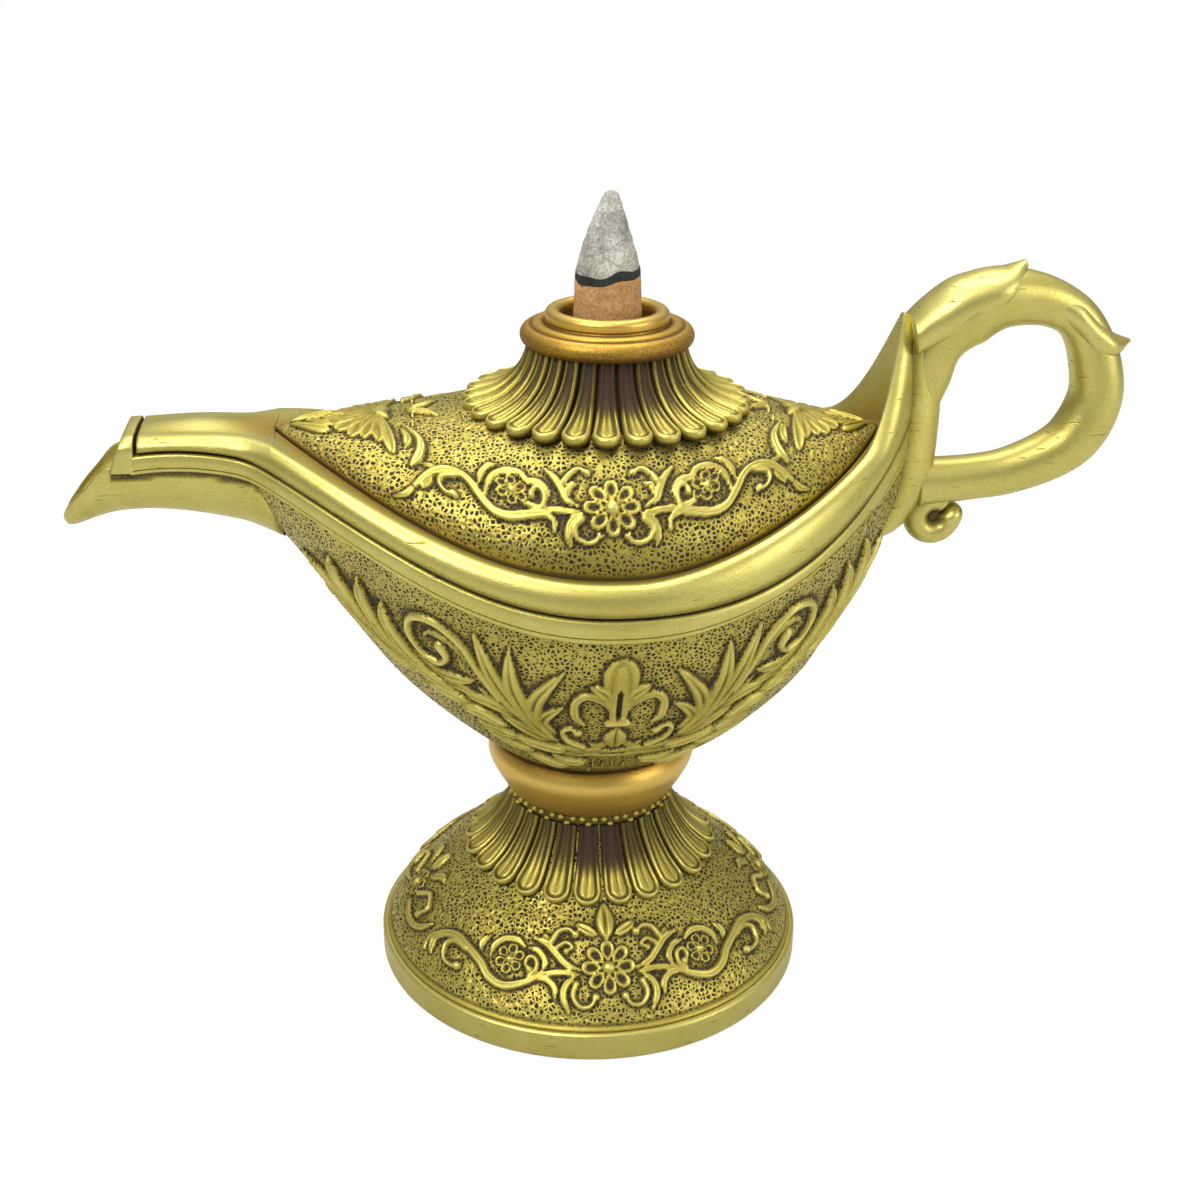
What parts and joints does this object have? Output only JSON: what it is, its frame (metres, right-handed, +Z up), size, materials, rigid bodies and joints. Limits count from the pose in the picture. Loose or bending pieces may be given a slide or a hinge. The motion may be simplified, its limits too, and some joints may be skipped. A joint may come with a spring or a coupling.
{
  "type": "genie oil lamp",
  "caption": "Genie lamp on a domed foot, with a hooded open spout, a looped handle and a lift-off domed lid whose socket holds a backflow incense cone.",
  "frame": {"origin": "centre of the foot's underside", "axes": "+Z up, +X from the foot's axis towards the handle, -X towards the spout"},
  "size_m": [0.1895, 0.082, 0.1479],
  "materials": {
    "antique_gold": "cast, gold lacquer rubbed over a dark brown patina",
    "bright_gold": "cast, smooth gold lacquer",
    "orange_gold": "cast, darker orange-gold lacquer",
    "steel": "zinc-plated",
    "fibre_board": "pressed grey-brown board",
    "felt": "dark green wool felt",
    "incense": "pressed powder, matte",
    "char": "burnt powder, matte",
    "ash": "cracked ash, matte"
  },
  "bodies": {
    "burner": {"base_felt": "felt", "base_board": "fibre_board", "foot_rim": "bright_gold", "foot_dome": "antique_gold", "foot_petals": "antique_gold", "bead_ring": "antique_gold", "neck_band": "orange_gold", "bowl_shell": "antique_gold", "girdle_band": "bright_gold", "upper_rim": "bright_gold", "spout_trough": "bright_gold", "handle_plate": "bright_gold", "handle_loop": "bright_gold", "handle_top_leaf": "bright_gold", "handle_side_leaf": "bright_gold", "handle_scroll": "bright_gold", "tie_screw": "steel", "tie_washer": "steel", "tie_nut": "steel"},
    "lid": {"lid_dome": "antique_gold", "lid_petals": "antique_gold", "lid_collar": "orange_gold", "socket_lip": "bright_gold", "seat_disc": "steel"},
    "cone": {"cone_body": "incense", "cone_char": "char", "cone_ash": "ash"}
  },
  "joints": [
    {"name": "lid_lift", "type": "slide", "parent": "burner", "child": "lid", "axis": [0, 0, 1], "range_m": [0, 0.06]},
    {"name": "cone_lift", "type": "slide", "parent": "lid", "child": "cone", "axis": [0, 0, 1], "range_m": [0, 0.04]}
  ]
}
